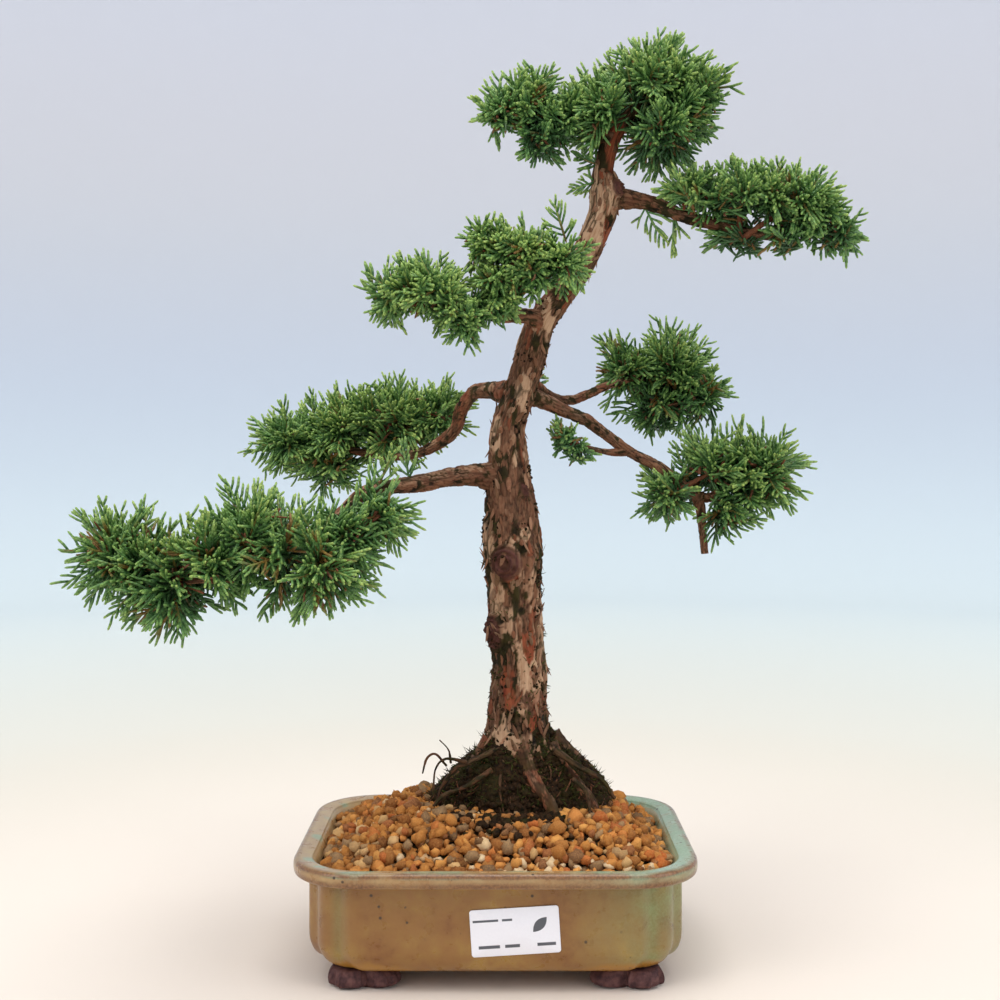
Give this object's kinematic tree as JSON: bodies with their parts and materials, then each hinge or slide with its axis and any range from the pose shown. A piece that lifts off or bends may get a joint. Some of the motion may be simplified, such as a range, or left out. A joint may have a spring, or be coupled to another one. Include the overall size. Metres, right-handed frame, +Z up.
{
  "type": "bonsai tree in a pot",
  "caption": "Small juniper bonsai with a leaning, tapering trunk, tiered limbs and clouds of foliage, in gravel in a glazed rectangular pot on lobed feet.",
  "frame": {"origin": "middle of the whole object's box, on the surface that the pot's feet stand on", "axes": "+X to the right along the pot's long side, +Y towards the back of the pot, +Z up along the trunk"},
  "size_m": [0.3596, 0.1986, 0.4355],
  "materials": {
    "glaze": "satin ochre-brown ash glaze with green and turquoise breaks at edges and corners",
    "bare_clay": "unglazed dark purplish-brown stoneware",
    "mesh_plastic": "matt black moulded lattice",
    "clip_wire": "plain drawn wire",
    "label_paper": null,
    "gravel": "ochre, orange and brown baked-clay and pumice grit",
    "root_soil": "dark moist soil bound by fine roots, with moss",
    "bark": "flaking red-brown bark with pale peeled patches",
    "foliage": "deep green scale-leaved shoots with yellow-green tips"
  },
  "bodies": {
    "root": {"pot_body": "glaze", "pot_foot_front_left": "bare_clay", "pot_foot_front_right": "bare_clay", "pot_foot_back_left": "bare_clay", "pot_foot_back_right": "bare_clay", "drainage_mesh_left": "mesh_plastic", "drainage_mesh_right": "mesh_plastic", "mesh_clip_left": "clip_wire", "mesh_clip_right": "clip_wire", "label": "label_paper", "gravel_fill": "gravel", "root_ball": "root_soil", "trunk": "bark", "limb_lower_left": "bark", "limb_mid_left": "bark", "limb_upper_left": "bark", "limb_crown_left": "bark", "limb_upper_right": "bark", "limb_mid_right": "bark", "limb_mid_right_back": "bark", "foliage_crown": "foliage", "foliage_crown_left": "foliage", "foliage_upper_right": "foliage", "foliage_upper_left_outer": "foliage", "foliage_upper_left_inner": "foliage", "foliage_mid_left": "foliage", "foliage_lower_left": "foliage", "foliage_mid_right_back": "foliage", "foliage_mid_right": "foliage", "foliage_mid_tuft": "foliage"}
  },
  "joints": []
}
